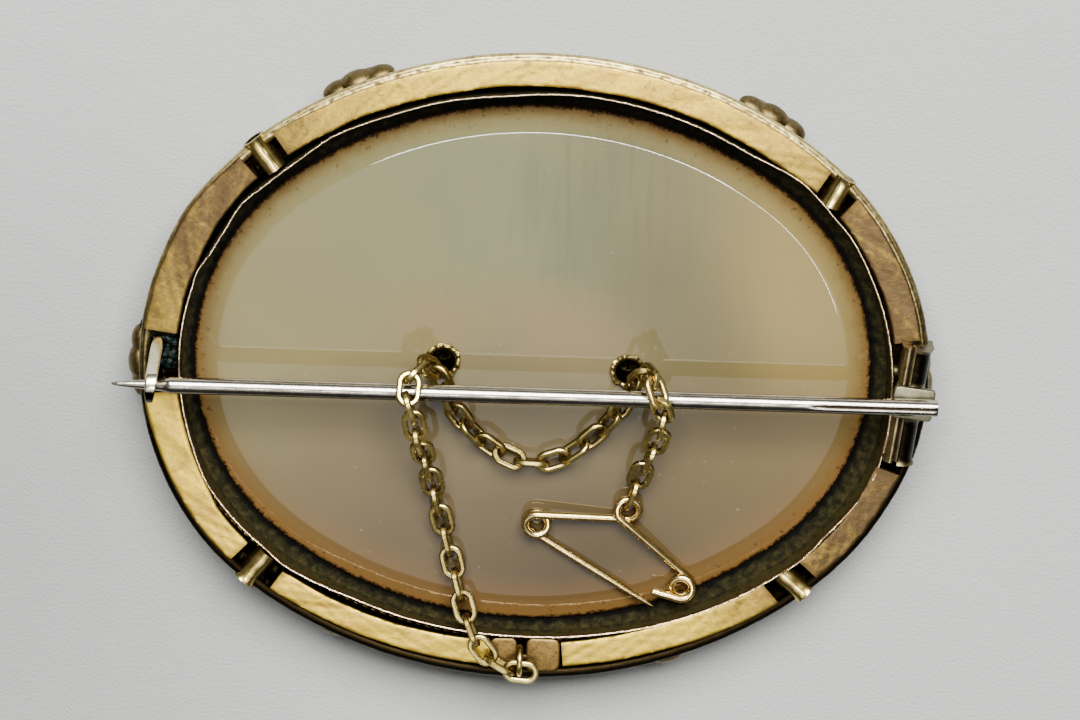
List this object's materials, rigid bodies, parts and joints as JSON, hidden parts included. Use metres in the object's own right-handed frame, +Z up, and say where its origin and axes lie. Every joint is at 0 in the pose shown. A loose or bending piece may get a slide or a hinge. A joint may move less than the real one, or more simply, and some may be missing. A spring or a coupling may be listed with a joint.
{
  "type": "cameo brooch",
  "caption": "Oval cameo brooch lying face down: gilt frame with band and collet, carved stone, pin stem with hinge and C catch, safety chain with small safety pin.",
  "frame": {"origin": "on the surface that the brooch lies on, under the centre of the oval frame", "axes": "+X along the oval's long axis towards the hinge, +Y along its short axis away from the chain's ring, +Z up out of the back of the brooch"},
  "size_m": [0.0579, 0.0462, 0.0097],
  "materials": {
    "gilt_frame": "worn gilding, tarnished in the recesses",
    "collet": "dark, dirty, bright along its edge",
    "cameo_stone": "polished, slightly see-through",
    "gold_tube": "bright worn edge",
    "pin_steel": "dull polish with fine scratches",
    "rivet_metal": "dull",
    "chain_gold": "worn, bright on the edges"
  },
  "bodies": {
    "root": {"frame": "gilt_frame", "setting": "collet", "cameo": "cameo_stone", "eyelet_left": "gold_tube", "eyelet_right": "gold_tube", "pin_stem": "pin_steel", "hinge_rivet": "rivet_metal", "chain_ring": "chain_gold", "safety_pin": "chain_gold", "link_01": "chain_gold", "link_02": "chain_gold", "link_03": "chain_gold", "link_04": "chain_gold", "link_05": "chain_gold", "link_06": "chain_gold", "link_07": "chain_gold", "link_08": "chain_gold", "link_09": "chain_gold", "link_10": "chain_gold", "link_11": "chain_gold", "link_12": "chain_gold", "link_13": "chain_gold", "link_14": "chain_gold", "link_15": "chain_gold", "link_16": "chain_gold", "link_17": "chain_gold", "link_18": "chain_gold", "link_19": "chain_gold", "link_20": "chain_gold", "link_21": "chain_gold", "link_22": "chain_gold", "link_23": "chain_gold", "link_24": "chain_gold", "link_25": "chain_gold", "link_26": "chain_gold", "link_27": "chain_gold", "link_28": "chain_gold", "link_29": "chain_gold", "link_30": "chain_gold", "link_31": "chain_gold", "link_32": "chain_gold", "link_33": "chain_gold", "link_34": "chain_gold", "link_35": "chain_gold", "link_36": "chain_gold", "link_37": "chain_gold", "link_38": "chain_gold", "link_39": "chain_gold", "link_40": "chain_gold", "link_41": "chain_gold"}
  },
  "joints": []
}
